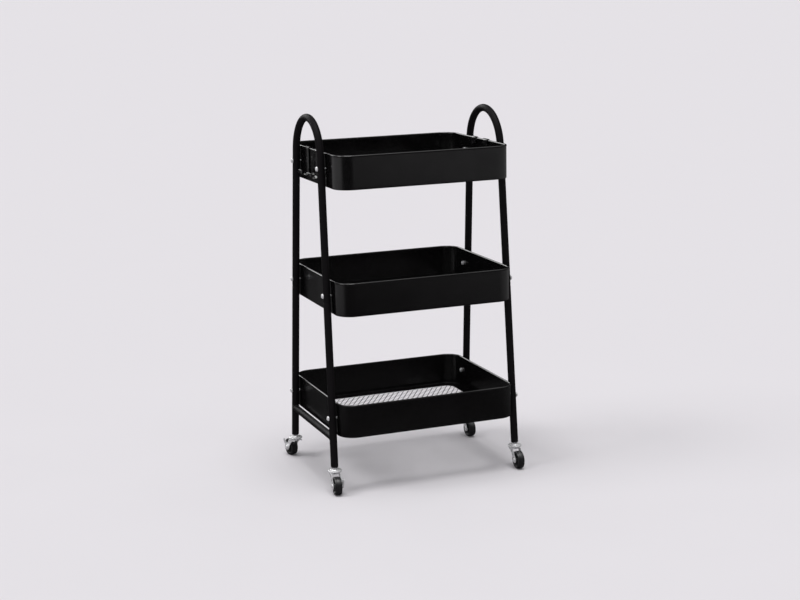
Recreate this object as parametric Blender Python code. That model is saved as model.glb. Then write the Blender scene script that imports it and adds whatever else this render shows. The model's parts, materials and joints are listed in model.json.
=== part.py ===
"""Three-tier rolling utility cart.

Two tube end frames stand at the ends of three sheet-metal trays. Each end frame is an arched hoop whose two
legs slip over a lower frame: two lower legs and a welded crossbar. Screws run through the legs and the end
walls of the trays into nuts. The trays have expanded-mesh floors, hooks hang over the rim of the top tray,
and the cart rolls on four swivel casters, of which the left pair has brake levers.

Axes: X runs along the trays, Y across them and Z up. The origin is on the floor, midway between the legs.
"""

import math

import bmesh
import bpy
from mathutils import Matrix, Vector

MM = 0.001
GAP = 0.3 * MM                      # between neighbouring pieces

# Trays, from the bottom up. Half sizes are over the rolled rim.
TIERS = ("bottom", "middle", "top")
RIM_HEIGHTS = (193.0 * MM, 453.5 * MM, 718.5 * MM)
TRAY_HALF_LENGTHS = (202.5 * MM, 200.0 * MM, 197.5 * MM)
TRAY_HALF_DEPTHS = (165.5 * MM, 162.0 * MM, 158.5 * MM)
TRAY_HEIGHT = 71.5 * MM
TRAY_CORNER_RADIUS = 36.5 * MM
SHEET = 1.0 * MM
RIM_BEAD_RADIUS = 2.2 * MM
RIM_OVERHANG = 0.8 * MM             # the wall's outer face lies this far inside the bead's
FLOOR_FLANGE_WIDTH = 22.0 * MM
BOTTOM_BEND = 1.5 * MM
CORNER_STEPS = 5
BEAD_STEPS = 7

# Mesh floors, welded under the trays' floor flanges.
MESH_THICKNESS = 1.2 * MM
MESH_INSET = 17.0 * MM
MESH_BORDER = 10.0 * MM
MESH_CELLS = (5, 3)
MESH_STRAND = 4.0 * MM

# End frames.
TUBE_RADIUS = 8.0 * MM
TUBE_WALL = 1.0 * MM
TUBE_SIDES = 14
HOOP_TOP = 793.0 * MM
HOOP_ARC_STEPS = 12
LEG_Y_AT_FLOOR = 137.8 * MM
LEG_SPLAY = 0.0819                  # sideways run of a leg for each unit of height
LEG_FOOT_HEIGHT = 54.0 * MM         # underside of the end plug
SEAM_HEIGHT = 405.5 * MM
SPIGOT_RADIUS = TUBE_RADIUS - TUBE_WALL - GAP
SPIGOT_LENGTH = 34.0 * MM
SWAGE_LENGTH = 2.0 * MM
CROSSBAR_HEIGHT = 117.5 * MM
CROSSBAR_RADIUS = 7.9 * MM          # a shade slimmer than the legs it is welded to

# Fasteners.
SCREW_BELOW_RIM = 33.0 * MM
SCREW_RADIUS = 2.3 * MM
SCREW_HOLE_RADIUS = 2.7 * MM
SCREW_HEAD_RADIUS = 5.0 * MM
SCREW_HEAD_HEIGHT = 3.8 * MM
SCREW_CROWN_RADIUS = 3.2 * MM
SCREW_TIP = 1.5 * MM                # thread left standing out of the nut
SCREW_SIDES = 10
NUT_ACROSS_FLATS = 8.0 * MM
NUT_HEIGHT = 4.0 * MM
NUT_BORE_RADIUS = 3.0 * MM

# Leg end plugs.
PLUG_FLANGE = 2.0 * MM
PLUG_DEPTH = 20.0 * MM
PLUG_CHAMFER = 0.8 * MM

# Hooks on the top tray's end rims.
HOOK_Y = 30.0 * MM
HOOK_WIDTH = 24.0 * MM
HOOK_THICKNESS = 1.5 * MM
HOOK_INNER_DROP = 13.0 * MM
HOOK_OUTER_DROP = 52.0 * MM
HOOK_CURL_RADIUS = 8.0 * MM
HOOK_CURL_RISE = 5.0 * MM
HOOK_BEND_STEPS = 7

# Casters. Lengths along the fork are from the swivel axis towards the axle.
STEM_RADIUS = 3.8 * MM
STEM_TOP = 70.0 * MM
COLLAR_RADIUS = 6.5 * MM
COLLAR_TOP = 52.8 * MM
RACE_RADIUS = 15.0 * MM
RACE_TOP = 49.8 * MM
RACE_BOTTOM = 44.6 * MM
RACE_SHOULDER = 2.5 * MM            # width of the plate's sloping edge
RACE_CROWN = 1.2 * MM               # fall of the plate's top face out to that edge
KINGPIN_RADIUS = 3.0 * MM
KINGPIN_HEAD_RADIUS = 5.0 * MM
KINGPIN_HEAD_HEIGHT = 1.0 * MM
PIN_SIDES = 12
FORK_TOP = 43.4 * MM
FORK_SHEET = 1.6 * MM
FORK_BACK = -12.5 * MM
FORK_FRONT = 13.0 * MM
FORK_INNER_HALF = 8.7 * MM
FORK_CORNER_RADIUS = 6.0 * MM
FORK_BOSS_RADIUS = 6.5 * MM
BOSS_STEPS = 7
CHEEK_FRONT = 12.0 * MM             # where the cheeks leave the top plate
CHEEK_BACK = -9.5 * MM
OVERLAP = 0.1 * MM                  # between shapes that are joined into one sheet
TRAIL = 22.0 * MM
WHEEL_RADIUS = 19.5 * MM
WHEEL_HALF_WIDTH = 7.2 * MM
WHEEL_HUB_RADIUS = 5.5 * MM
WHEEL_WEB_RADIUS = 14.0 * MM
WHEEL_WEB_RECESS = 1.5 * MM
TREAD_ROUNDING = 2.2 * MM
WHEEL_SIDES = 20
AXLE_RADIUS = 2.9 * MM
AXLE_HEAD_RADIUS = 5.0 * MM
AXLE_HEAD_HEIGHT = 1.6 * MM
LEVER_SHEET = 1.6 * MM
LEVER_REACH = 22.0 * MM
LEVER_WIDTH = 8.0 * MM
LEVER_TAB = 7.0 * MM
LEVER_TAB_WIDTH = 10.0 * MM
LEVER_RAISED = math.radians(52)

# Each caster: side along X, side along Y, heading of its trail, and whether it has a brake.
CASTERS = {
    "front_left": (-1, -1, math.radians(-97), True),
    "back_left": (-1, 1, math.radians(100), True),
    "front_right": (1, -1, math.radians(-93), False),
    "back_right": (1, 1, math.radians(-88), False),
}

# The end frames lean so that they follow the trays' lengths.
FRAME_GAP = 0.35 * MM               # from a rim to the legs
FRAME_LEAN = math.atan((TRAY_HALF_LENGTHS[0] - TRAY_HALF_LENGTHS[2]) / (RIM_HEIGHTS[2] - RIM_HEIGHTS[0]))
FRAME_X_AT_FLOOR = TRAY_HALF_LENGTHS[0] + FRAME_GAP + TUBE_RADIUS + RIM_HEIGHTS[0] * math.tan(FRAME_LEAN)
LEG_ANGLE = math.atan(LEG_SPLAY)
SIDES = {"left": -1, "right": 1}
ENDS = {"front": -1, "back": 1}


# ---------------------------------------------------------------- materials

def make_material(name, colour, roughness, metallic):
    material = bpy.data.materials.new(name)
    material.use_nodes = True
    shader = material.node_tree.nodes["Principled BSDF"]
    shader.inputs["Base Color"].default_value = (*colour, 1.0)
    shader.inputs["Roughness"].default_value = roughness
    shader.inputs["Metallic"].default_value = metallic
    return material


def powder_coat(name):
    return make_material(name, (0.012, 0.011, 0.012), 0.38, 0.0)


def zinc_plate(name):
    return make_material(name, (0.62, 0.62, 0.64), 0.28, 1.0)


def black_plastic(name):
    return make_material(name, (0.014, 0.014, 0.015), 0.5, 0.0)


# ---------------------------------------------------------------- mesh tools

def add_object(name, shape, material, matrix=None, parent=None):
    """Make an object from a bmesh. The matrix is local to the parent."""
    bmesh.ops.recalc_face_normals(shape, faces=shape.faces)
    mesh = bpy.data.meshes.new(name)
    shape.to_mesh(mesh)
    shape.free()
    mesh.shade_smooth()
    mesh.set_sharp_from_angle(angle=math.radians(35))
    if material:
        mesh.materials.append(material)
    piece = bpy.data.objects.new(name, mesh)
    bpy.context.collection.objects.link(piece)
    piece.parent = parent
    if matrix is not None:
        piece.matrix_local = matrix
    return piece


def add_guide(name, shape, matrix=None, parent=None):
    """A shape that only cuts or joins another and isn't part of the cart."""
    guide = add_object(name, shape, None, matrix, parent)
    guide.hide_render = True
    guide.display_type = "WIRE"
    return guide


def add_empty(name, matrix, parent=None):
    empty = bpy.data.objects.new(name, None)
    bpy.context.collection.objects.link(empty)
    empty.parent = parent
    empty.matrix_local = matrix
    return empty


def combine(piece, operation, other, solver="EXACT"):
    step = piece.modifiers.new(operation.title() + " " + other.name, "BOOLEAN")
    step.operation = operation
    step.solver = solver
    step.object = other


def place(x, y, z):
    return Matrix.Translation(Vector((x, y, z)))


def ring(shape, points):
    return [shape.verts.new(point) for point in points]


def join_rings(shape, first, second):
    """Side faces between two rings of points. A ring of one point is a pole."""
    count = max(len(first), len(second))
    for step in range(count):
        after = (step + 1) % count
        if len(first) == 1:
            shape.faces.new((first[0], second[step], second[after]))
        elif len(second) == 1:
            shape.faces.new((first[step], first[after], second[0]))
        else:
            shape.faces.new((first[step], first[after], second[after], second[step]))


def circle(radius, z, sides):
    angles = (2 * math.pi * step / sides for step in range(sides))
    return [(radius * math.cos(angle), radius * math.sin(angle), z) for angle in angles]


def turned(profile, sides, shape=None):
    """Revolve (radius, z) points about Z. A profile that starts and ends on the axis is solid, and any
    other profile is a closed loop and leaves a hole."""
    shape = shape or bmesh.new()
    rings = [ring(shape, circle(radius, z, sides) if radius else [(0, 0, z)]) for radius, z in profile]
    solid = profile[0][0] == 0
    following = rings[1:] if solid else rings[1:] + rings[:1]
    for first, second in zip(rings, following):
        join_rings(shape, first, second)
    return shape


def rod(radius, low, high, sides, shape=None):
    return turned([(0, low), (radius, low), (radius, high), (0, high)], sides, shape)


def prism(outline, low, high, shape=None):
    """A closed outline in the XY plane, extruded along Z."""
    shape = shape or bmesh.new()
    bottom = ring(shape, [(x, y, low) for x, y in outline])
    top = ring(shape, [(x, y, high) for x, y in outline])
    join_rings(shape, bottom, top)
    shape.faces.new(bottom)
    shape.faces.new(top)
    return shape


def arc(centre, radius, start, end, steps):
    angles = (start + (end - start) * step / steps for step in range(steps + 1))
    return [(centre[0] + radius * math.cos(a), centre[1] + radius * math.sin(a)) for a in angles]


def rounded_rectangle(half_x, half_y, radius, steps):
    corners = ((1, 1), (-1, 1), (-1, -1), (1, -1))
    points = []
    for quarter, (side_x, side_y) in enumerate(corners):
        centre = (side_x * (half_x - radius), side_y * (half_y - radius))
        start = quarter * math.pi / 2
        points += arc(centre, radius, start, start + math.pi / 2, steps)
    return points


def strip_outline(path, thickness):
    """Outline of a strip of even thickness whose middle line is the path."""
    left, right = [], []
    for index, point in enumerate(path):
        before = Vector(path[max(index - 1, 0)])
        after = Vector(path[min(index + 1, len(path) - 1)])
        along = (after - before).normalized()
        across = Vector((-along.y, along.x)) * thickness / 2
        left.append(tuple(Vector(point) + across))
        right.append(tuple(Vector(point) - across))
    return left + right[::-1]


# ---------------------------------------------------------------- places that the pieces share

def leg_y(height):
    return LEG_Y_AT_FLOOR - LEG_SPLAY * height


def frame_x(height):
    return FRAME_X_AT_FLOOR - height * math.tan(FRAME_LEAN)


def frame_matrix(side):
    """The leaning plane of an end frame: local Y across the cart, local Z up along the plane."""
    return place(side * FRAME_X_AT_FLOOR, 0, 0) @ Matrix.Rotation(-side * FRAME_LEAN, 4, "Y")


def leg_matrix(side, end):
    """Local Z runs up the middle of a leg, from the floor."""
    return frame_matrix(side) @ place(0, end * LEG_Y_AT_FLOOR, 0) @ Matrix.Rotation(end * LEG_ANGLE, 4, "X")


def along_leg(height):
    return height / math.cos(LEG_ANGLE)


def screw_matrix(tier, side, end):
    """Local Z points out of the cart along a screw, from the tray wall's inner face."""
    height = RIM_HEIGHTS[tier] - SCREW_BELOW_RIM
    wall = TRAY_HALF_LENGTHS[tier] - RIM_OVERHANG - SHEET
    turn = Matrix.Rotation(side * math.pi / 2, 4, "Y")
    return place(side * wall, end * leg_y(height), height) @ turn


def screw_grip(tier):
    """From the tray wall's inner face to the outside of the leg."""
    height = RIM_HEIGHTS[tier] - SCREW_BELOW_RIM
    wall = TRAY_HALF_LENGTHS[tier] - RIM_OVERHANG - SHEET
    return frame_x(height) + TUBE_RADIUS - wall


def every_screw():
    for tier, tier_name in enumerate(TIERS):
        for side_name, side in SIDES.items():
            for end_name, end in ENDS.items():
                yield tier, side, end, f"{tier_name}_{end_name}_{side_name}"


# ---------------------------------------------------------------- end frames

def add_screw_holes():
    """One cutter for all the holes that the screws pass through."""
    shape = bmesh.new()
    for tier, side, end, _name in every_screw():
        hole = rod(SCREW_HOLE_RADIUS, -SHEET - GAP, screw_grip(tier) + SHEET, SCREW_SIDES)
        hole.transform(screw_matrix(tier, side, end))
        mesh = bpy.data.meshes.new("hole")
        hole.to_mesh(mesh)
        hole.free()
        shape.from_mesh(mesh)
        bpy.data.meshes.remove(mesh)
    return add_guide("screw_holes", shape)


def hoop_path():
    """Middle line of a hoop in its plane, from one leg's seam over the arch to the other's."""
    top = HOOP_TOP / math.cos(FRAME_LEAN) - TUBE_RADIUS
    radius = (LEG_Y_AT_FLOOR - LEG_SPLAY * top) / (math.sqrt(1 + LEG_SPLAY ** 2) - LEG_SPLAY)
    centre = (0.0, top - radius)
    seam = SEAM_HEIGHT + GAP
    bend = arc(centre, radius, math.pi - LEG_ANGLE, LEG_ANGLE, HOOP_ARC_STEPS)
    return [(-leg_y(seam), seam), *bend, (leg_y(seam), seam)]


def swept_tube(path, outer, inner, sides):
    """A hollow tube whose middle line is a path in the YZ plane."""
    shape = bmesh.new()
    shells = []
    for radius in (outer, inner):
        rings = []
        for index, point in enumerate(path):
            before = Vector(path[max(index - 1, 0)])
            after = Vector(path[min(index + 1, len(path) - 1)])
            along = (after - before).normalized()
            across = Vector((0, along.y, -along.x))
            middle = Vector((0, *point))
            spokes = circle(radius, 0, sides)
            rings.append(ring(shape, [middle + Vector((x, 0, 0)) + across * y for x, y, _z in spokes]))
        for first, second in zip(rings, rings[1:]):
            join_rings(shape, first, second)
        shells.append(rings)
    join_rings(shape, shells[0][0], shells[1][0])
    join_rings(shape, shells[0][-1], shells[1][-1])
    return shape


def add_hoop(side_name, side, screw_holes):
    shape = swept_tube(hoop_path(), TUBE_RADIUS, TUBE_RADIUS - TUBE_WALL, TUBE_SIDES)
    material = powder_coat(f"{side_name}_hoop_coat")
    hoop = add_object(f"{side_name}_hoop", shape, material, frame_matrix(side))
    combine(hoop, "DIFFERENCE", screw_holes)


def leg_body():
    """Outside of a lower leg, up to the end of the spigot that the hoop's leg slips over."""
    seam = along_leg(SEAM_HEIGHT)
    return turned([
        (0, along_leg(LEG_FOOT_HEIGHT) + PLUG_FLANGE + GAP),
        (TUBE_RADIUS, along_leg(LEG_FOOT_HEIGHT) + PLUG_FLANGE + GAP),
        (TUBE_RADIUS, seam - SWAGE_LENGTH),
        (SPIGOT_RADIUS, seam),
        (SPIGOT_RADIUS, seam + SPIGOT_LENGTH),
        (0, seam + SPIGOT_LENGTH),
    ], TUBE_SIDES)


def leg_bore():
    seam = along_leg(SEAM_HEIGHT)
    inner = TUBE_RADIUS - TUBE_WALL
    return turned([
        (0, along_leg(LEG_FOOT_HEIGHT)),
        (inner, along_leg(LEG_FOOT_HEIGHT)),
        (inner, seam - 2 * SWAGE_LENGTH),
        (SPIGOT_RADIUS - TUBE_WALL, seam - SWAGE_LENGTH),
        (SPIGOT_RADIUS - TUBE_WALL, seam + SPIGOT_LENGTH + SHEET),
        (0, seam + SPIGOT_LENGTH + SHEET),
    ], TUBE_SIDES)


def crossbar_matrix(side):
    """Local Z runs across the cart along the middle of the crossbar."""
    height = CROSSBAR_HEIGHT / math.cos(FRAME_LEAN)
    half_step = Matrix.Rotation(math.pi / TUBE_SIDES, 4, "Z")
    return frame_matrix(side) @ place(0, 0, height) @ Matrix.Rotation(-math.pi / 2, 4, "X") @ half_step


def add_lower_frame(side_name, side, screw_holes):
    """Two lower legs and the crossbar welded between them. The crossbar's bore runs through the inner walls
    of the legs. EXACT leaves open edges where these thin tubes meet, so the joins use MANIFOLD."""
    name = f"{side_name}_lower_frame"
    material = powder_coat(f"{name}_coat")
    frame = add_object(name, leg_body(), material, leg_matrix(side, ENDS["front"]))
    reach = leg_y(CROSSBAR_HEIGHT)
    back_leg = add_guide(f"{name}_back_leg", leg_body(), leg_matrix(side, ENDS["back"]))
    bar = add_guide(f"{name}_bar", rod(CROSSBAR_RADIUS, -reach, reach, TUBE_SIDES), crossbar_matrix(side))
    hollow = rod(CROSSBAR_RADIUS - TUBE_WALL, -reach, reach, TUBE_SIDES)
    bar_bore = add_guide(f"{name}_bar_bore", hollow, crossbar_matrix(side))
    combine(frame, "UNION", bar, "MANIFOLD")
    combine(frame, "UNION", back_leg, "MANIFOLD")
    for end_name, end in ENDS.items():
        bore = add_guide(f"{name}_{end_name}_bore", leg_bore(), leg_matrix(side, end))
        combine(frame, "DIFFERENCE", bore, "MANIFOLD")
    combine(frame, "DIFFERENCE", bar_bore, "MANIFOLD")
    combine(frame, "DIFFERENCE", screw_holes, "MANIFOLD")


def add_leg_plug(name, side, end):
    """Plastic plug in the foot of a leg. Its bore is upright, like the caster stem it holds."""
    foot = along_leg(LEG_FOOT_HEIGHT)
    inner = TUBE_RADIUS - TUBE_WALL - GAP
    shape = turned([
        (0, foot),
        (TUBE_RADIUS - PLUG_CHAMFER, foot),
        (TUBE_RADIUS, foot + PLUG_CHAMFER),
        (TUBE_RADIUS, foot + PLUG_FLANGE),
        (inner, foot + PLUG_FLANGE),
        (inner, foot + PLUG_DEPTH),
        (0, foot + PLUG_DEPTH),
    ], TUBE_SIDES)
    plug = add_object(f"{name}_leg_plug", shape, black_plastic(f"{name}_plug_plastic"), leg_matrix(side, end))
    bore = rod(STEM_RADIUS + GAP, LEG_FOOT_HEIGHT - PLUG_FLANGE, LEG_FOOT_HEIGHT + 2 * PLUG_DEPTH, PIN_SIDES)
    combine(plug, "DIFFERENCE", add_guide(f"{name}_plug_bore", bore, stem_matrix(side, end)))


# ---------------------------------------------------------------- trays

def tray_profile():
    """Section of a tray's wall: (distance in from the rim's outline, height from the rim's top)."""
    outer = RIM_OVERHANG
    inner = outer + SHEET
    bottom = -TRAY_HEIGHT
    bead = RIM_BEAD_RADIUS
    leaves_wall = 2 * math.pi - math.acos(outer / bead - 1)
    meets_wall = -math.acos(inner / bead - 1)
    return [
        (outer, bottom + BOTTOM_BEND),
        *arc((bead, -bead), bead, leaves_wall, meets_wall, BEAD_STEPS),
        (inner, bottom + BOTTOM_BEND),
        (inner + BOTTOM_BEND - SHEET, bottom + SHEET),
        (inner + FLOOR_FLANGE_WIDTH, bottom + SHEET),
        (inner + FLOOR_FLANGE_WIDTH, bottom),
        (outer + BOTTOM_BEND, bottom),
        (outer + 0.3 * BOTTOM_BEND, bottom + 0.3 * BOTTOM_BEND),
    ]


def add_tray(tier, screw_holes):
    """A tray's wall and floor flange: the wall's section, carried round the rounded outline."""
    shape = bmesh.new()
    rings = []
    for inset, height in tray_profile():
        outline = rounded_rectangle(
            TRAY_HALF_LENGTHS[tier] - inset,
            TRAY_HALF_DEPTHS[tier] - inset,
            TRAY_CORNER_RADIUS - inset,
            CORNER_STEPS,
        )
        rings.append(ring(shape, [(x, y, height) for x, y in outline]))
    for first, second in zip(rings, rings[1:] + rings[:1]):
        join_rings(shape, first, second)
    name = f"{TIERS[tier]}_tray"
    tray = add_object(name, shape, powder_coat(f"{name}_coat"), place(0, 0, RIM_HEIGHTS[tier]))
    combine(tray, "DIFFERENCE", screw_holes)


def mesh_openings(half_x, half_y):
    """Diamond openings between the strands, one in each cell and one where four cells meet."""
    columns, rows = MESH_CELLS
    step_x = 2 * half_x / columns
    step_y = 2 * half_y / rows
    reach_x = step_x / 2 - MESH_STRAND
    reach_y = step_y / 2 - MESH_STRAND * step_y / step_x
    shape = bmesh.new()
    for twice_x in range(2 * columns + 1):
        for twice_y in range(2 * rows + 1):
            on_border = twice_x in (0, 2 * columns) or twice_y in (0, 2 * rows)
            if on_border or twice_x % 2 != twice_y % 2:
                continue
            x = -half_x + twice_x * step_x / 2
            y = -half_y + twice_y * step_y / 2
            diamond = [(x + reach_x, y), (x, y + reach_y), (x - reach_x, y), (x, y - reach_y)]
            prism(diamond, -MESH_THICKNESS, 2 * MESH_THICKNESS, shape)
    return shape


def add_mesh_floor(tier):
    """Expanded mesh that fills the opening inside the tray's floor flange."""
    half_x = TRAY_HALF_LENGTHS[tier] - MESH_INSET
    half_y = TRAY_HALF_DEPTHS[tier] - MESH_INSET
    outline = [(half_x, half_y), (-half_x, half_y), (-half_x, -half_y), (half_x, -half_y)]
    height = RIM_HEIGHTS[tier] - TRAY_HEIGHT - GAP - MESH_THICKNESS
    name = f"{TIERS[tier]}_mesh_floor"
    spot = place(0, 0, height)
    floor = add_object(name, prism(outline, 0, MESH_THICKNESS), powder_coat(f"{name}_coat"), spot)
    openings = mesh_openings(half_x - MESH_BORDER, half_y - MESH_BORDER)
    combine(floor, "DIFFERENCE", add_guide(f"{name}_openings", openings, spot))


# ---------------------------------------------------------------- fasteners

def add_screw(tier, side, end, name):
    """Pan-head screw: head outside the leg, shank through leg, tray wall and nut."""
    seat = screw_grip(tier) + GAP
    shape = turned([
        (0, -GAP - NUT_HEIGHT - SCREW_TIP),
        (SCREW_RADIUS, -GAP - NUT_HEIGHT - SCREW_TIP),
        (SCREW_RADIUS, seat),
        (SCREW_HEAD_RADIUS, seat),
        (SCREW_HEAD_RADIUS, seat + SCREW_HEAD_HEIGHT / 2),
        (SCREW_CROWN_RADIUS, seat + SCREW_HEAD_HEIGHT),
        (0, seat + SCREW_HEAD_HEIGHT),
    ], SCREW_SIDES)
    add_object(f"{name}_screw", shape, zinc_plate(f"{name}_screw_zinc"), screw_matrix(tier, side, end))


def add_nut(tier, side, end, name):
    """Hexagon nut on the inner face of the tray's wall."""
    corner = NUT_ACROSS_FLATS / 2 / math.cos(math.pi / 6)
    back = -GAP - NUT_HEIGHT
    bore = NUT_BORE_RADIUS
    shape = turned([(corner, -GAP), (corner, back), (bore, back), (bore, -GAP)], 6)
    add_object(f"{name}_nut", shape, zinc_plate(f"{name}_nut_zinc"), screw_matrix(tier, side, end))


# ---------------------------------------------------------------- hooks

def hook_path():
    """Middle line of a hook's strip: (out from the rim's face, up from the rim's top)."""
    bead = RIM_BEAD_RADIUS
    bend = bead + GAP + HOOK_THICKNESS / 2
    over = arc((-bead, -bead), bend, math.pi, 0, HOOK_BEND_STEPS)
    curl_centre = (bend - bead + HOOK_CURL_RADIUS, -HOOK_OUTER_DROP)
    curl = arc(curl_centre, HOOK_CURL_RADIUS, math.pi, 2 * math.pi, HOOK_BEND_STEPS)
    tip = (curl_centre[0] + HOOK_CURL_RADIUS, -HOOK_OUTER_DROP + HOOK_CURL_RISE)
    return [(-bead - bend, -HOOK_INNER_DROP), *over, *curl, tip]


def add_hook(side_name, side, end_name, end):
    """Local X points out of the cart, local Z up; the origin is on the rim, in the middle of the hook."""
    shape = sideways(prism(strip_outline(hook_path(), HOOK_THICKNESS), -HOOK_WIDTH / 2, HOOK_WIDTH / 2))
    turn = Matrix.Rotation(0 if side > 0 else math.pi, 4, "Z")
    spot = place(side * TRAY_HALF_LENGTHS[2], end * HOOK_Y, RIM_HEIGHTS[2])
    name = f"{side_name}_{end_name}_hook"
    add_object(name, shape, powder_coat(f"{name}_coat"), spot @ turn)


# ---------------------------------------------------------------- casters

def stem_matrix(side, end):
    """The upright swivel axis of a caster, under the foot of its leg."""
    return place(side * frame_x(LEG_FOOT_HEIGHT), end * leg_y(LEG_FOOT_HEIGHT), 0)


def add_caster_stem(name, side, end):
    """Stem, collar and race plate, with a riveted kingpin that carries the fork."""
    pin_end = FORK_TOP - FORK_SHEET - GAP
    shape = turned([
        (0, STEM_TOP),
        (STEM_RADIUS, STEM_TOP),
        (STEM_RADIUS, COLLAR_TOP),
        (COLLAR_RADIUS, COLLAR_TOP),
        (COLLAR_RADIUS, RACE_TOP),
        (RACE_RADIUS - RACE_SHOULDER, RACE_TOP - RACE_CROWN),
        (RACE_RADIUS, RACE_TOP - RACE_SHOULDER),
        (RACE_RADIUS, RACE_BOTTOM),
        (KINGPIN_RADIUS, RACE_BOTTOM),
        (KINGPIN_RADIUS, pin_end),
        (KINGPIN_HEAD_RADIUS, pin_end),
        (KINGPIN_HEAD_RADIUS, pin_end - KINGPIN_HEAD_HEIGHT),
        (0, pin_end - KINGPIN_HEAD_HEIGHT),
    ], PIN_SIDES)
    add_object(f"{name}_caster_stem", shape, zinc_plate(f"{name}_stem_zinc"), stem_matrix(side, end))


def tangent_angle(point, centre, radius, turn):
    """Where, on a circle, the line from a point touches it; turn picks the side."""
    run = centre[0] - point[0]
    rise = centre[1] - point[1]
    spread = math.asin(radius / math.hypot(run, rise))
    return math.atan2(rise, run) + turn * (spread + math.pi / 2)


def cheek_outline():
    """Side of the fork: from the top plate down to a round boss at the axle. Local X, then height."""
    axle = (TRAIL, WHEEL_RADIUS)
    edge = FORK_TOP - FORK_SHEET / 2
    front = (CHEEK_FRONT, edge)
    back = (CHEEK_BACK, edge)
    start = tangent_angle(front, axle, FORK_BOSS_RADIUS, 1)
    end = tangent_angle(back, axle, FORK_BOSS_RADIUS, -1)
    return [back, front, *arc(axle, FORK_BOSS_RADIUS, start, end, BOSS_STEPS)]


def sideways(shape):
    """Turn a prism drawn in X and Y so that its Y becomes height and its depth runs along Y."""
    shape.transform(Matrix.Rotation(math.pi / 2, 4, "X"))
    return shape


def axle_matrix():
    """Local Z runs along the axle, towards the brake side."""
    return place(TRAIL, 0, WHEEL_RADIUS) @ Matrix.Rotation(-math.pi / 2, 4, "X")


def add_fork(name, swivel):
    """Folded sheet fork: a top plate on the kingpin and a cheek on each side of the wheel."""
    outer = FORK_INNER_HALF + FORK_SHEET
    middle = (FORK_FRONT + FORK_BACK) / 2
    half_length = (FORK_FRONT - FORK_BACK) / 2
    plate = rounded_rectangle(half_length, outer + OVERLAP, FORK_CORNER_RADIUS, 4)
    outline = [(x + middle, y) for x, y in plate]
    material = zinc_plate(f"{name}_fork_zinc")
    shape = prism(outline, FORK_TOP - FORK_SHEET, FORK_TOP)
    fork = add_object(f"{name}_caster_fork", shape, material, None, swivel)
    for side_name, side in SIDES.items():
        low, high = sorted((side * FORK_INNER_HALF, side * outer))
        cheek = sideways(prism(cheek_outline(), low, high))
        combine(fork, "UNION", add_guide(f"{name}_fork_{side_name}_cheek", cheek, None, swivel))
    hole = rod(KINGPIN_RADIUS + GAP, FORK_TOP - 2 * FORK_SHEET, FORK_TOP + FORK_SHEET, PIN_SIDES)
    combine(fork, "DIFFERENCE", add_guide(f"{name}_fork_pin_hole", hole, None, swivel))
    bore = rod(AXLE_RADIUS + GAP, -2 * outer, 2 * outer, PIN_SIDES)
    combine(fork, "DIFFERENCE", add_guide(f"{name}_fork_axle_hole", bore, axle_matrix(), swivel))


def add_wheel(name, swivel):
    """Wheel with a hub, a recessed web and a rounded tread, turned about its own axle."""
    tread = WHEEL_HALF_WIDTH
    web = tread - WHEEL_WEB_RECESS
    hub = FORK_INNER_HALF - GAP
    half = [
        (AXLE_RADIUS + GAP, hub),
        (WHEEL_HUB_RADIUS, hub),
        (WHEEL_HUB_RADIUS, web),
        (WHEEL_WEB_RADIUS, web),
        (WHEEL_WEB_RADIUS + WHEEL_WEB_RECESS, tread),
        (WHEEL_RADIUS - TREAD_ROUNDING, tread),
        (WHEEL_RADIUS, tread - TREAD_ROUNDING),
    ]
    profile = half + [(radius, -z) for radius, z in reversed(half)]
    shape = turned(profile, WHEEL_SIDES)
    spin = add_empty(f"{name}_wheel_axis", axle_matrix(), swivel)
    add_object(f"{name}_caster_wheel", shape, black_plastic(f"{name}_wheel_plastic"), None, spin)


def add_axle(name, swivel, braked):
    """Riveted axle. On a braked caster it also carries the lever, outside the cheek."""
    outer = FORK_INNER_HALF + FORK_SHEET + GAP
    near = outer + (LEVER_SHEET + GAP if braked else 0)
    crown = AXLE_HEAD_RADIUS - AXLE_HEAD_HEIGHT / 2
    shape = turned([
        (0, -outer - AXLE_HEAD_HEIGHT),
        (crown, -outer - AXLE_HEAD_HEIGHT),
        (AXLE_HEAD_RADIUS, -outer - AXLE_HEAD_HEIGHT / 2),
        (AXLE_HEAD_RADIUS, -outer),
        (AXLE_RADIUS, -outer),
        (AXLE_RADIUS, near),
        (AXLE_HEAD_RADIUS, near),
        (AXLE_HEAD_RADIUS, near + AXLE_HEAD_HEIGHT / 2),
        (crown, near + AXLE_HEAD_HEIGHT),
        (0, near + AXLE_HEAD_HEIGHT),
    ], PIN_SIDES)
    add_object(f"{name}_caster_axle", shape, zinc_plate(f"{name}_axle_zinc"), axle_matrix(), swivel)


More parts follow.
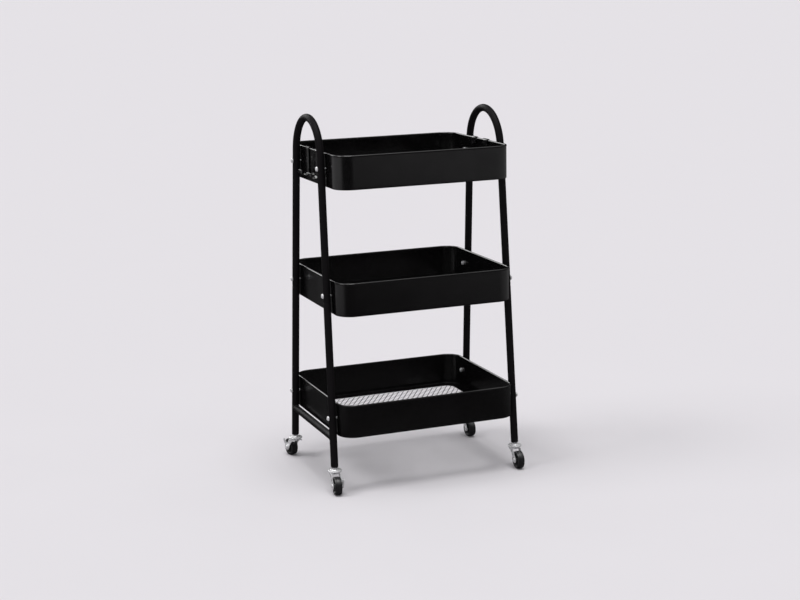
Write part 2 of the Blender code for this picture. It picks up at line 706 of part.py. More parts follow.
def add_brake_lever(name, swivel):
    """Side lever on the axle: an arm in the plane of the cheek, with a foot tab bent outwards. Drawn with
    the arm along local X, in a frame on the axle whose Z points away from the wheel."""
    low = FORK_INNER_HALF + FORK_SHEET + GAP
    high = low + LEVER_SHEET
    half = LEVER_WIDTH / 2
    start = math.asin(half / FORK_BOSS_RADIUS)
    hub = arc((0, 0), FORK_BOSS_RADIUS, start, 2 * math.pi - start, 2 * BOSS_STEPS)
    outline = [(LEVER_REACH, -half), (LEVER_REACH, half), *hub]
    hinge = add_empty(f"{name}_brake_axis", axle_matrix() @ Matrix.Rotation(-LEVER_RAISED, 4, "Z"), swivel)
    material = zinc_plate(f"{name}_lever_zinc")
    lever = add_object(f"{name}_brake_lever", prism(outline, low, high), material, None, hinge)
    tab_half = LEVER_TAB_WIDTH / 2
    tab_start = low + OVERLAP
    tab_outline = [(tab_start, -tab_half), (tab_start, tab_half)]
    tab_outline += arc((low + LEVER_TAB - tab_half, 0), tab_half, math.pi / 2, -math.pi / 2, BOSS_STEPS)
    tab = prism(tab_outline, -LEVER_REACH - OVERLAP, -LEVER_REACH - OVERLAP + LEVER_SHEET)
    tab.transform(Matrix.Rotation(-math.pi / 2, 4, "Y"))
    combine(lever, "UNION", add_guide(f"{name}_lever_tab", tab, None, hinge))
    bore = rod(AXLE_RADIUS + GAP, low - LEVER_SHEET, high + LEVER_SHEET, PIN_SIDES)
    combine(lever, "DIFFERENCE", add_guide(f"{name}_lever_bore", bore, None, hinge))


def add_caster(name, side, end, heading, braked):
    add_caster_stem(name, side, end)
    swivel = add_empty(f"{name}_swivel_axis", stem_matrix(side, end) @ Matrix.Rotation(heading, 4, "Z"))
    add_fork(name, swivel)
    add_axle(name, swivel, braked)
    add_wheel(name, swivel)
    if braked:
        add_brake_lever(name, swivel)


# ---------------------------------------------------------------- the cart

def build_cart():
    for old in list(bpy.data.objects):
        bpy.data.objects.remove(old)
    screw_holes = add_screw_holes()
    for side_name, side in SIDES.items():
        add_hoop(side_name, side, screw_holes)
        add_lower_frame(side_name, side, screw_holes)
        for end_name, end in ENDS.items():
            add_leg_plug(f"{end_name}_{side_name}", side, end)
            add_hook(side_name, side, end_name, end)
    for tier in range(len(TIERS)):
        add_tray(tier, screw_holes)
        add_mesh_floor(tier)
    for tier, side, end, name in every_screw():
        add_screw(tier, side, end, name)
        add_nut(tier, side, end, name)
    for name, (side, end, heading, braked) in CASTERS.items():
        add_caster(name, side, end, heading, braked)


build_cart()
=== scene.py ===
"""The looks of a three-tier rolling utility cart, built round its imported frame.

Each piece is modelled in millimetre detail where the frame says its node is, and rides on that node's body.
Axes are the frame's: X along the trays, Y across them, Z up from the floor.
"""

import json
import math

import bmesh
import bpy
from mathutils import Matrix, Vector


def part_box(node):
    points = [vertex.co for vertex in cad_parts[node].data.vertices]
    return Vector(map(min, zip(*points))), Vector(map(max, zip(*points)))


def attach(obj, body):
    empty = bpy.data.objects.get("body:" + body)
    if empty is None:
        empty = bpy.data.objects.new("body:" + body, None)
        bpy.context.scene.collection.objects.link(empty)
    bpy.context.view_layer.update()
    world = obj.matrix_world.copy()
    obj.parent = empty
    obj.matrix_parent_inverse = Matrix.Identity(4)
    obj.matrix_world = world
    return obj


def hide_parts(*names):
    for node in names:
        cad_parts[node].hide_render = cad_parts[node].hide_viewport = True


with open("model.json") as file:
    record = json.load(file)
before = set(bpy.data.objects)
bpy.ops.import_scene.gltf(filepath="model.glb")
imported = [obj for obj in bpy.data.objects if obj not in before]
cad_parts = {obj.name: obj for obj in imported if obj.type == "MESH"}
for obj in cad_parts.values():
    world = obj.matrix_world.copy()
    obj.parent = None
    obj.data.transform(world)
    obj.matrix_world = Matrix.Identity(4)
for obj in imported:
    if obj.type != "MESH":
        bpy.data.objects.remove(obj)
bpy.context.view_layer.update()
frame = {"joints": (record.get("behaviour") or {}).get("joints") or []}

MM = 0.001
SIDES = {"left": -1, "right": 1}
ENDS = {"front": -1, "back": 1}
TIERS = ("bottom", "middle", "top")
CART = "cart"
joints = {joint["name"]: joint for joint in frame["joints"]}

# Sizes that the frame's boxes can't give.
GAP = 0.3 * MM                        # between neighbouring pieces

TUBE_RADIUS = 8.0 * MM
TUBE_WALL = 1.0 * MM
TUBE_SIDES = 40
TUBE_LIP = 0.35 * MM                  # rounding of a tube's cut ends
HOOP_STEPS = 56
FOOT_HEIGHT = 54.0 * MM               # underside of the leg plugs
SPIGOT_RADIUS = 6.7 * MM
SPIGOT_LENGTH = 34.0 * MM
CROSSBAR_RADIUS = 7.9 * MM
CROSSBAR_HEIGHT = 117.5 * MM
CROSSBAR_OVERLAP = 3.0 * MM           # of each end with the leg it is welded to
WELD_RADIUS = 1.1 * MM
WELD_STEPS = 72
WELD_RIPPLES = 18
PLUG_FLANGE = 2.0 * MM
PLUG_DEPTH = 20.0 * MM
PLUG_BORE = 4.1 * MM

SHEET = 1.0 * MM
RIM_BEAD = 2.2 * MM
WALL_INSET = 0.8 * MM                 # from the rim's outline to the wall's outer face
FLANGE_WIDTH = 22.0 * MM
FLANGE_CORNER = 26.0 * MM
CORNER_RADIUS = 36.5 * MM
CORNER_STEPS = 18
BEAD_STEPS = 20
FLOOR_BEND = 1.6 * MM
MESH_PITCH_X = 12.0 * MM
MESH_PITCH_Y = 20.0 * MM
MESH_MARGIN = 3.0 * MM                # from the sheet's edge to the first knots
SELVAGE_WIDTH = 2.0 * MM
STRAND_WIDTH = 1.05 * MM
STRAND_THICKNESS = 0.7 * MM
STRAND_TILT = 0.4 * MM

SCREW_RADIUS = 2.3 * MM
SCREW_HEAD_RADIUS = 5.0 * MM
SCREW_HEAD_HEIGHT = 3.8 * MM
SCREW_TWIST_STEP = 37                 # degrees from one screw to the next, so that no two stand alike
THREAD_PITCH = 0.8 * MM
THREAD_DEPTH = 0.32 * MM
THREAD_TURNS = 12
RECESS_REACH = 2.7 * MM
RECESS_HALF_WIDTH = 0.55 * MM
NUT_HEIGHT = 4.0 * MM
NUT_ACROSS_FLATS = 8.0 * MM
NUT_BORE = 2.55 * MM
NUT_CHAMFER = 0.45 * MM

HOOK_WIDTH = 24.0 * MM
HOOK_SHEET = 1.5 * MM
HOOK_CORNER = 5.0 * MM
HOOK_INNER_DROP = 13.0 * MM
HOOK_CURL_RADIUS = 8.0 * MM
HOOK_CURL_RISE = 5.0 * MM

CASTER_SHEET = 1.6 * MM
STEM_RADIUS = 3.8 * MM
STEM_TOP = 70.0 * MM
COLLAR_CORNER = 6.5 * MM
COLLAR_BOTTOM = 49.6 * MM
COLLAR_TOP = 52.8 * MM
RACE_RADIUS = 15.0 * MM
RACE_BOTTOM = 45.0 * MM
KINGPIN_RADIUS = 3.0 * MM
FORK_TOP = 43.2 * MM
FORK_INNER = 8.7 * MM                 # half the width between the cheeks
FORK_BACK = -12.5 * MM
FORK_FRONT = 13.0 * MM
CHEEK_BULGE = 5.2 * MM
BOSS = 6.5 * MM
AXLE_HOLE = 3.2 * MM
AXLE_RADIUS = 2.9 * MM
RIVET_HEAD_RADIUS = 5.0 * MM
RIVET_HEAD_HEIGHT = 1.6 * MM
TREAD_HALF_WIDTH = 7.2 * MM
HUB_HALF_WIDTH = 8.4 * MM
WEB_HALF_WIDTH = 5.2 * MM
WHEEL_RIBS = 6
LEVER_REACH = 22.0 * MM
LEVER_WIDTH = 7.6 * MM
LEVER_RAISED = math.radians(52)
PEDAL_LENGTH = 7.0 * MM
PEDAL_WIDTH = 7.2 * MM
PEDAL_PLACE = 18.6 * MM


# ---------------------------------------------------------------- node materials

def feed(tree, socket, value):
    """Give an input socket a value, or link it to the output socket that feeds it."""
    if isinstance(value, bpy.types.NodeSocket):
        tree.links.new(value, socket)
    elif socket.type == "RGBA":
        socket.default_value = (*value, 1.0)
    else:
        socket.default_value = value


def add_node(tree, kind, inputs=None, **settings):
    """Add a shader node. An input is a value or the socket that feeds it."""
    node = tree.nodes.new(kind)
    for name, value in settings.items():
        setattr(node, name, value)
    for name, value in (inputs or {}).items():
        feed(tree, node.inputs[name], value)
    return node


def noise(tree, per_metre, detail=2.0, stretch=(1, 1, 1)):
    """Noise in the piece's own space, with about that many features to a metre."""
    space = add_node(tree, "ShaderNodeTexCoord").outputs["Object"]
    stretched = add_node(tree, "ShaderNodeMapping", {"Vector": space, "Scale": stretch})
    texture = add_node(tree, "ShaderNodeTexNoise", {
        "Vector": stretched.outputs["Vector"], "Scale": per_metre, "Detail": detail,
    })
    return texture.outputs["Fac"]


def map_range(tree, value, low, high, to_low, to_high):
    node = add_node(tree, "ShaderNodeMapRange", {
        "Value": value, "From Min": low, "From Max": high, "To Min": to_low, "To Max": to_high,
    })
    return node.outputs["Result"]


def mix_colours(tree, share, first, second):
    node = add_node(tree, "ShaderNodeMix", data_type="RGBA")
    sockets = {socket.identifier: socket for socket in (*node.inputs, *node.outputs)}
    feed(tree, sockets["Factor_Float"], share)
    feed(tree, sockets["A_Color"], first)
    feed(tree, sockets["B_Color"], second)
    return sockets["Result_Color"]


def scaled(colour, factor):
    return tuple(factor * channel for channel in colour)


def calculate(tree, operation, first, second):
    return add_node(tree, "ShaderNodeMath", {0: first, 1: second}, operation=operation).outputs["Value"]


def sharp_edge_mask(tree, start, end):
    """1 on sharp outer edges, broken up by noise, and 0 on flat stretches. It rises as the surface's
    pointiness goes from start to end."""
    pointiness = add_node(tree, "ShaderNodeNewGeometry").outputs["Pointiness"]
    edge = map_range(tree, pointiness, start, end, 0.0, 1.0)
    patches = map_range(tree, noise(tree, 160, 4.0), 0.42, 0.62, 0.0, 1.0)
    return calculate(tree, "MULTIPLY", edge, patches)


def new_material(name):
    material = bpy.data.materials.new(name)
    material.use_nodes = True
    return material, material.node_tree, material.node_tree.nodes["Principled BSDF"]


def set_bump(tree, shader, height, strength, distance):
    bump = add_node(tree, "ShaderNodeBump", {"Height": height, "Strength": strength, "Distance": distance})
    feed(tree, shader.inputs["Normal"], bump.outputs["Normal"])


def set_roughness(tree, shader, pattern, smoothest, roughest):
    """Roughness that follows a noise pattern, most of which lies between 0.3 and 0.7."""
    feed(tree, shader.inputs["Roughness"], map_range(tree, pattern, 0.3, 0.7, smoothest, roughest))


def powder_coat(name, depth, roughness, gloss, edge_wear_and_highlight):
    """Near-black baked paint: orange peel, a faint cloudiness and sharp edges turned a lighter grey, partly
    worn paint and partly a painted highlight.
    """
    material, tree, shader = new_material(name)
    tint = (depth, 0.9 * depth, depth)
    cloud = mix_colours(tree, noise(tree, 9, 3.0), scaled(tint, 0.7), scaled(tint, 1.4))
    # Sharp edges take the edge grey: partly worn paint, partly a painted highlight along rims and edges.
    colour = mix_colours(tree, sharp_edge_mask(tree, 0.53, 0.60), cloud, (edge_wear_and_highlight, edge_wear_and_highlight, edge_wear_and_highlight))
    feed(tree, shader.inputs["Base Color"], colour)
    set_roughness(tree, shader, noise(tree, 22, 3.0), roughness - 0.05, roughness + 0.06)
    shader.inputs["Specular IOR Level"].default_value = gloss
    set_bump(tree, shader, noise(tree, 520, 2.0), 0.22, 0.12 * MM)
    return material


def zinc_plate(name, roughness):
    """Bright zinc: cloudy plating over rolled steel, with fine drawing lines and specks of grime."""
    material, tree, shader = new_material(name)
    cloud = mix_colours(tree, noise(tree, 120, 4.0), (0.84, 0.84, 0.86), (0.97, 0.97, 0.98))
    grime = map_range(tree, noise(tree, 260, 5.0), 0.58, 0.74, 0.0, 0.5)
    feed(tree, shader.inputs["Base Color"], mix_colours(tree, grime, cloud, (0.30, 0.29, 0.28)))
    shader.inputs["Metallic"].default_value = 0.35
    set_roughness(tree, shader, noise(tree, 200, 4.0), roughness - 0.08, roughness + 0.14)
    set_bump(tree, shader, noise(tree, 1400, 2.0, (1, 1, 0.08)), 0.18, 0.05 * MM)
    return material


def moulded_plastic(name, colour, roughness, gloss):
    """Black moulded plastic with a fine grain and a little grey scuffing on its raised edges."""
    material, tree, shader = new_material(name)
    scuffed = tuple(4 * channel + 0.006 for channel in colour)
    cloud = mix_colours(tree, noise(tree, 60, 4.0), colour, scaled(colour, 1.8))
    feed(tree, shader.inputs["Base Color"], mix_colours(tree, sharp_edge_mask(tree, 0.52, 0.58), cloud, scuffed))
    set_roughness(tree, shader, noise(tree, 180, 3.0), roughness - 0.06, roughness + 0.08)
    shader.inputs["Specular IOR Level"].default_value = gloss
    set_bump(tree, shader, noise(tree, 2200, 3.0), 0.2, 0.05 * MM)
    return material


# ---------------------------------------------------------------- outlines and surfaces

def arc(centre, radius, start, end, steps):
    angles = (start + (end - start) * step / steps for step in range(steps + 1))
    return [(centre[0] + radius * math.cos(a), centre[1] + radius * math.sin(a)) for a in angles]


def filleted(corners, steps=5, closed=True):
    """An outline from corners (x, y, radius), each rounded with an arc of its radius."""
    outline = []
    count = len(corners)
    for index, (x, y, radius) in enumerate(corners):
        if not radius or (not closed and index in (0, count - 1)):
            outline.append((x, y))
            continue
        corner = Vector((x, y))
        to_before = (Vector(corners[index - 1][:2]) - corner).normalized()
        to_after = (Vector(corners[(index + 1) % count][:2]) - corner).normalized()
        half = to_before.angle(to_after) / 2
        centre = corner + (to_before + to_after).normalized() * radius / math.sin(half)
        start = corner + to_before * radius / math.tan(half) - centre
        sweep = start.angle_signed(corner + to_after * radius / math.tan(half) - centre)
        first = math.atan2(start.y, start.x)
        outline += arc(centre, radius, first, first - sweep, steps)
    return outline


def rounded_rectangle(half_x, half_y, radius, steps):
    corners = ((1, 1), (-1, 1), (-1, -1), (1, -1))
    return filleted([(x * half_x, y * half_y, radius) for x, y in corners], steps)


def ring(shape, points):
    return [shape.verts.new(point) for point in points]


def join_rings(shape, first, second):
    """Side faces between two rings of points. A ring of one point is a pole."""
    count = max(len(first), len(second))
    for step in range(count):
        after = (step + 1) % count
        if len(first) == 1:
            shape.faces.new((first[0], second[step], second[after]))
        elif len(second) == 1:
            shape.faces.new((first[step], first[after], second[0]))
        else:
            shape.faces.new((first[step], first[after], second[after], second[step]))


def join_loop(shape, rings):
    for first, second in zip(rings, rings[1:] + rings[:1]):
        join_rings(shape, first, second)


def circle(radius, z, sides):
    angles = (2 * math.pi * step / sides for step in range(sides))
    return [(radius * math.cos(angle), radius * math.sin(angle), z) for angle in angles]


def hexagon(corner):
    """A hexagon's outline, with its corners that far from the middle."""
    return [(x, y) for x, y, _z in circle(corner, 0, 6)]


def turned(profile, sides):
    """Revolve (radius, z) points about Z. A profile that starts and ends on the axis is solid, and any
    other profile is a closed loop and leaves a hole."""
    shape = bmesh.new()
    rings = [ring(shape, circle(radius, z, sides) if radius else [(0, 0, z)]) for radius, z in profile]
    if profile[0][0] == 0:
        for first, second in zip(rings, rings[1:]):
            join_rings(shape, first, second)
    else:
        join_loop(shape, rings)
    return shape


def prism(outline, low, high):
    """A closed outline in the XY plane, extruded along Z."""
    shape = bmesh.new()
    bottom = ring(shape, [(x, y, low) for x, y in outline])
    top = ring(shape, [(x, y, high) for x, y in outline])
    join_rings(shape, bottom, top)
    shape.faces.new(bottom)
    shape.faces.new(top)
    return shape


def sideways(shape):
    """Turn a shape drawn in X and Y so that its Y becomes height and its depth runs along Y."""
    shape.transform(Matrix.Rotation(math.pi / 2, 4, "X"))
    return shape


def directions(path):
    """Unit directions along a path of 2-D points."""
    found = []
    for index in range(len(path)):
        before = Vector(path[max(index - 1, 0)])
        after = Vector(path[min(index + 1, len(path) - 1)])
        found.append((after - before).normalized())
    return found


def lengths(path):
    """Distance of each point along a path from its start."""
    run = [0.0]
    for before, after in zip(path, path[1:]):
        run.append(run[-1] + (Vector(after) - Vector(before)).length)
    return run


def strap(path, width, thickness, end_radius):
    """Strip steel bent along a path in the XZ plane, its width along Y, with rounded corners at its ends."""
    shape = bmesh.new()
    run = lengths(path)
    rings = []
    for (x, z), along, distance in zip(path, directions(path), run):
        from_end = min(distance, run[-1] - distance, end_radius)
        trim = end_radius - math.sqrt(max(end_radius ** 2 - (end_radius - from_end) ** 2, 0.0))
        half = width / 2 - trim
        normal = Vector((-along.y, along.x)) * thickness / 2
        section = (
            (x + normal.x, half, z + normal.y),
            (x + normal.x, -half, z + normal.y),
            (x - normal.x, -half, z - normal.y),
            (x - normal.x, half, z - normal.y),
        )
        rings.append(ring(shape, section))
    for first, second in zip(rings, rings[1:]):
        join_rings(shape, first, second)
    shape.faces.new(rings[0])
    shape.faces.new(rings[-1])
    return shape


def subdivided(path, longest):
    """The same path with points added so that no step is longer than that."""
    fine = [path[0]]
    for before, after in zip(path, path[1:]):
        start, end = Vector(before), Vector(after)
        steps = max(1, math.ceil((end - start).length / longest))
        fine += [tuple(start.lerp(end, step / steps)) for step in range(1, steps + 1)]
    return fine


def subdivided_loop(outline, longest):
    """A closed outline with points added, so that edge wear doesn't run along its straight stretches."""
    return subdivided([*outline, outline[0]], longest)[:-1]


def mesh_of(name, shape, sharp_degrees=30):
    bmesh.ops.recalc_face_normals(shape, faces=shape.faces)
    mesh = bpy.data.meshes.new(name)
    shape.to_mesh(mesh)
    shape.free()
    mesh.shade_smooth()
    mesh.set_sharp_from_angle(angle=math.radians(sharp_degrees))
    return mesh


def combined(name, shape, steps, bevel=None):
    """Mesh of a shape after Boolean steps (operation, other shape), with its sharp edges bevelled."""
    base = bpy.data.objects.new(name, mesh_of(name, shape))
    bpy.context.scene.collection.objects.link(base)
    tools = []
    for index, (operation, other) in enumerate(steps):
        tool = bpy.data.objects.new(f"{name}_tool_{index}", mesh_of(f"{name}_tool_{index}", other))
        bpy.context.scene.collection.objects.link(tool)
        tools.append(tool)
        modifier = base.modifiers.new(tool.name, "BOOLEAN")
        modifier.operation = operation
        modifier.solver = "EXACT"
        modifier.object = tool
    if bevel:
        rounding = base.modifiers.new("Bevel", "BEVEL")
        rounding.width = bevel
        rounding.segments = 2
        rounding.limit_method = "ANGLE"
        rounding.angle_limit = math.radians(40)
        rounding.harden_normals = False
    bpy.context.view_layer.update()
    evaluated = base.evaluated_get(bpy.context.evaluated_depsgraph_get())
    mesh = bpy.data.meshes.new_from_object(evaluated)
    mesh.name = name
    mesh.shade_smooth()
    mesh.set_sharp_from_angle(angle=math.radians(35))
    for thing in (base, *tools):
        bpy.data.objects.remove(thing)
    return mesh


def add_piece(name, mesh, material, body, nodes=(), matrix=None):
    """Put a mesh in the scene, riding on a body and standing for CAD nodes."""
    piece = bpy.data.objects.new(name, mesh)
    bpy.context.scene.collection.objects.link(piece)
    if matrix is not None:
        piece.matrix_world = matrix
    if not mesh.materials:
        mesh.materials.append(material)
    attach(piece, body)
    if nodes:
        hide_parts(*nodes)
    return piece


def place(x, y, z):
    return Matrix.Translation(Vector((x, y, z)))


# ---------------------------------------------------------------- places worked out from the frame

foot_x, foot_y = (abs(value) for value in joints["front_right_swivel"]["pos_m"][:2])


def box_middle(node):
    low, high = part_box(node)
    return (low + high) / 2


top_screw = box_middle("top_front_right_screw")
splay = (foot_y - abs(top_screw.y)) / (top_screw.z - FOOT_HEIGHT)
hoop_low, hoop_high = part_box("right_hoop")
lean = (foot_x - (hoop_high.x - TUBE_RADIUS)) / (hoop_low.z - FOOT_HEIGHT)
splay_angle = math.atan(splay)
lean_angle = math.atan(lean)
frame_x_at_floor = foot_x + lean * FOOT_HEIGHT
leg_y_at_floor = foot_y + splay * FOOT_HEIGHT
seam_height = hoop_low.z + TUBE_RADIUS * math.sin(splay_angle)


def frame_matrix(side):
    """The leaning plane of an end frame: local Y across the cart, local Z up along the plane."""
    return place(side * frame_x_at_floor, 0, 0) @ Matrix.Rotation(-side * lean_angle, 4, "Y")


def leg_matrix(side, end):
    """Local Z runs up the middle of a leg, from the floor."""
    foot = place(0, end * leg_y_at_floor, 0)
    return frame_matrix(side) @ foot @ Matrix.Rotation(end * splay_angle, 4, "X")


def along_leg(height):
    return height / math.cos(splay_angle)


def leg_y(height):
    return leg_y_at_floor - splay * height


# ---------------------------------------------------------------- end frames

def hoop_path():
    """Middle line of a hoop in its plane, as (y, rise): seam, straight leg, arch, straight leg, seam."""
    top = hoop_high.z / math.cos(lean_angle) - TUBE_RADIUS
    radius = (leg_y_at_floor - splay * top) / (math.sqrt(1 + splay ** 2) - splay)
    bend = arc((0.0, top - radius), radius, math.pi - splay_angle, splay_angle, HOOP_STEPS)
    path = [(-leg_y(seam_height), seam_height), *bend, (leg_y(seam_height), seam_height)]
    return subdivided(path, 10 * MM)


def swept_tube(path):
    """A hollow tube along a path in the YZ plane, with softened lips at both ends."""
    shape = bmesh.new()
    run = lengths(path)
    shells = []
    for radius, softening in ((TUBE_RADIUS, -TUBE_LIP), (TUBE_RADIUS - TUBE_WALL, TUBE_LIP)):
        rings = []
        for point, along, distance in zip(path, directions(path), run):
            across = Vector((0, along.y, -along.x))
            from_end = min(distance, run[-1] - distance, TUBE_LIP) / TUBE_LIP
            size = radius + softening * (1 - math.sqrt(1 - (1 - from_end) ** 2))
            middle = Vector((0, *point))
            spokes = circle(size, 0, TUBE_SIDES)
            rings.append(ring(shape, [middle + Vector((x, 0, 0)) + across * y for x, y, _z in spokes]))
        for first, second in zip(rings, rings[1:]):
            join_rings(shape, first, second)
        shells.append(rings)
    join_rings(shape, shells[0][0], shells[1][0])
    join_rings(shape, shells[0][-1], shells[1][-1])
    return shape


def with_lips(path):
    """Extra points close to both ends of a path, where a tube's lip is rounded."""
    start, second = Vector(path[0]), Vector(path[1])
    last, before = Vector(path[-1]), Vector(path[-2])
    toward = (second - start).normalized() * TUBE_LIP
    back = (before - last).normalized() * TUBE_LIP
    shares = (0.25, 0.6, 1.0)
    opening = [tuple(start + toward * share) for share in shares]
    closing = [tuple(last + back * share) for share in reversed(shares)]
    return [path[0], *opening, *path[1:-1], *closing, path[-1]]


def add_hoop(side_name, side, paint):
    shape = swept_tube(with_lips(hoop_path()))
    add_piece(f"{side_name}_hoop_tube", mesh_of("hoop", shape), paint, CART,
              [f"{side_name}_hoop"], frame_matrix(side))


def leg_profile():
    """Lower leg: open foot, swaged neck and the spigot that the hoop slips over, as a closed section."""
    foot = along_leg(FOOT_HEIGHT) + PLUG_FLANGE + GAP
    seam = along_leg(seam_height) - GAP
    top = seam + SPIGOT_LENGTH
    inner = TUBE_RADIUS - TUBE_WALL
    outline = filleted([
        (inner, foot, 0.3 * MM),
        (TUBE_RADIUS, foot, 0.4 * MM),
        (TUBE_RADIUS, seam - 1.6 * MM, 1.2 * MM),
        (SPIGOT_RADIUS, seam, 0.8 * MM),
        (SPIGOT_RADIUS, top, 0.4 * MM),
        (SPIGOT_RADIUS - TUBE_WALL, top, 0.3 * MM),
        (SPIGOT_RADIUS - TUBE_WALL, seam - 2 * MM, 0.8 * MM),
        (inner, seam - 4 * MM, 0.8 * MM),
    ], 3)
    return subdivided_loop(outline, 10 * MM)


def weld_bead(reach):
    """Bead along the saddle where the crossbar meets a leg. Local Z runs along the crossbar to the leg."""
    shape = bmesh.new()
    rings = []
    for step in range(WELD_STEPS):
        angle = 2 * math.pi * step / WELD_STEPS
        outward = Vector((math.cos(angle), math.sin(angle), 0))
        dip = TUBE_RADIUS - math.sqrt(TUBE_RADIUS ** 2 - (CROSSBAR_RADIUS * outward.x) ** 2)
        ripple = 1 + 0.12 * math.sin(WELD_RIPPLES * angle)
        middle = outward * CROSSBAR_RADIUS + Vector((0, 0, reach - TUBE_RADIUS + dip))
        section = circle(WELD_RADIUS * ripple, 0, 12)
        rings.append(ring(shape, [middle + out * outward + Vector((0, 0, up)) for out, up, _z in section]))
    join_loop(shape, rings)
    return shape


def add_lower_frame(side_name, side, paint):
    node = f"{side_name}_lower_frame"
    for end_name, end in ENDS.items():
        leg = mesh_of("lower_leg", turned(leg_profile(), TUBE_SIDES))
        add_piece(f"{node}_{end_name}_leg", leg, paint, CART, [node], leg_matrix(side, end))
    reach = leg_y(CROSSBAR_HEIGHT)
    inside = reach - TUBE_RADIUS + CROSSBAR_OVERLAP
    rise = place(0, 0, CROSSBAR_HEIGHT / math.cos(lean_angle))
    across = frame_matrix(side) @ rise @ Matrix.Rotation(-math.pi / 2, 4, "X")
    section = [(CROSSBAR_RADIUS, -inside), (CROSSBAR_RADIUS, inside),
               (CROSSBAR_RADIUS - TUBE_WALL, inside), (CROSSBAR_RADIUS - TUBE_WALL, -inside)]
    bar = mesh_of("crossbar", turned(subdivided_loop(section, 10 * MM), TUBE_SIDES))
    add_piece(f"{node}_crossbar", bar, paint, CART, (), across)
    for end_name, end in ENDS.items():
        facing = across if end > 0 else across @ Matrix.Rotation(math.pi, 4, "X")
        add_piece(f"{node}_{end_name}_weld", mesh_of("weld", weld_bead(reach)), paint, CART,
                  (), facing)


def add_leg_plug(end_name, side_name, side, end, plastic):
    """Plastic plug with a rounded collar, a tapered end and a bore for the caster's stem."""
    foot = along_leg(FOOT_HEIGHT)
    inner = TUBE_RADIUS - TUBE_WALL - GAP
    profile = filleted([
        (PLUG_BORE, foot, 0.4 * MM),
        (TUBE_RADIUS, foot, 1.1 * MM),
        (TUBE_RADIUS, foot + PLUG_FLANGE, 0.3 * MM),
        (inner, foot + PLUG_FLANGE, 0),
        (inner, foot + PLUG_DEPTH - MM, 1.0 * MM),
        (PLUG_BORE, foot + PLUG_DEPTH, 0.3 * MM),
    ], 4)
    name = f"{end_name}_{side_name}_leg_plug"
    add_piece(f"{name}_moulding", mesh_of("plug", turned(profile, TUBE_SIDES)), plastic, CART,
              [name], leg_matrix(side, end))


# ---------------------------------------------------------------- trays

def tray_section(height):
    """Section of a tray's sheet: (distance in from the rim's outline, height from the rim's top)."""
    outer = WALL_INSET
    inner = outer + SHEET
    leaves_wall = 2 * math.pi - math.acos(outer / RIM_BEAD - 1)
    meets_wall = -math.acos(inner / RIM_BEAD - 1)
    bead = arc((RIM_BEAD, -RIM_BEAD), RIM_BEAD, leaves_wall, meets_wall, BEAD_STEPS)
    skirt = filleted([
        bead[-1] + (0,),
        (inner, -height + SHEET, FLOOR_BEND - SHEET),
        (inner + FLANGE_WIDTH, -height + SHEET, SHEET / 3),
        (inner + FLANGE_WIDTH, -height, SHEET / 3),
        (outer, -height, FLOOR_BEND),
        bead[0] + (0,),
    ], 6, closed=False)
    return subdivided_loop(bead[1:-1] + skirt, 5 * MM)


def add_tray(tier_name, paint):
    """A tray's section carried round its rounded outline. The corners of the flange's opening are rounder
    than a plain inset of the wall would make them."""
    node = f"{tier_name}_tray"
    low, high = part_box(node)
    shape = bmesh.new()
    rings = []
    for inset, height in tray_section(high.z - low.z):
        on_flange = max(0.0, (inset - WALL_INSET - SHEET) / FLANGE_WIDTH)
        radius = CORNER_RADIUS - inset
        radius += on_flange ** 2 * (FLANGE_CORNER - (CORNER_RADIUS - inset))
        outline = rounded_rectangle(high.x - inset, high.y - inset, radius, CORNER_STEPS)
        rings.append(ring(shape, [(x, y, high.z + height) for x, y in outline]))
    join_loop(shape, rings)
    add_piece(f"{node}_sheet", mesh_of(node, shape), paint, CART, [node])


def lattice(half_x, half_y, columns, rows, level):
    """Expanded mesh: one sheet slit and stretched, so the strands round each opening are tilted. The knots
    are numbered in half cells, and a cell on the edge is half an opening."""
    shape = bmesh.new()
    step_x, step_y = half_x / columns, half_y / rows
    slope = Vector((step_x, step_y)).normalized()
    clear = STRAND_WIDTH / 2
    reach_x = step_x - clear / slope.y
    reach_y = step_y - clear / slope.x
    faces = (-STRAND_THICKNESS / 2, STRAND_THICKNESS / 2)
    knots = {}

    def spot(i, j):
        return Vector((-half_x + i * step_x, -half_y + j * step_y))

    def knot(i, j):
        if (i, j) not in knots:
            knots[i, j] = [shape.verts.new((*spot(i, j), level + z)) for z in faces]
        return knots[i, j]

    def lip_point(middle, side, inward):
        """A corner of an opening. One on the sheet's edge stands a strand's half width inside it."""
        offset = Vector((side.x * reach_x, side.y * reach_y))
        if not inward.length or side == inward:
            return middle + offset
        depth = abs(inward.x) * reach_x + abs(inward.y) * reach_y
        return middle + offset * (1 - clear / depth) + inward * clear

    def add_cell(i, j):
        around = ((1, 0), (0, 1), (-1, 0), (0, -1))
        sides = [Vector((a, b)) for a, b in around if 0 <= i + a <= 2 * columns and 0 <= j + b <= 2 * rows]
        inward = sum(sides, Vector((0, 0)))
        middle = spot(i, j)
        lips = []
        for side in sides:
            point = lip_point(middle, side, inward)
            tilt = STRAND_TILT * (point.x - middle.x) / step_x
            lips.append([shape.verts.new((*point, level + tilt + z)) for z in faces])
        corners = [knot(i + int(side.x), j + int(side.y)) for side in sides]
        join_strip(shape, corners, lips)

    for i in range(2 * columns + 1):
        for j in range(2 * rows + 1):
            if (i + j) % 2:
                add_cell(i, j)
    add_selvage(shape, knots, columns, rows)
    return shape


def join_strip(shape, outer, inner):
    """Faces over and under a closed strip of sheet, and round its inner edge. Each point of outer and inner
    is a pair of vertices, one on each side of the sheet."""
    for step in range(len(outer)):
        after = (step + 1) % len(outer)
        for face in range(2):
            shape.faces.new((outer[step][face], outer[after][face], inner[after][face], inner[step][face]))
        shape.faces.new((inner[step][0], inner[after][0], inner[after][1], inner[step][1]))


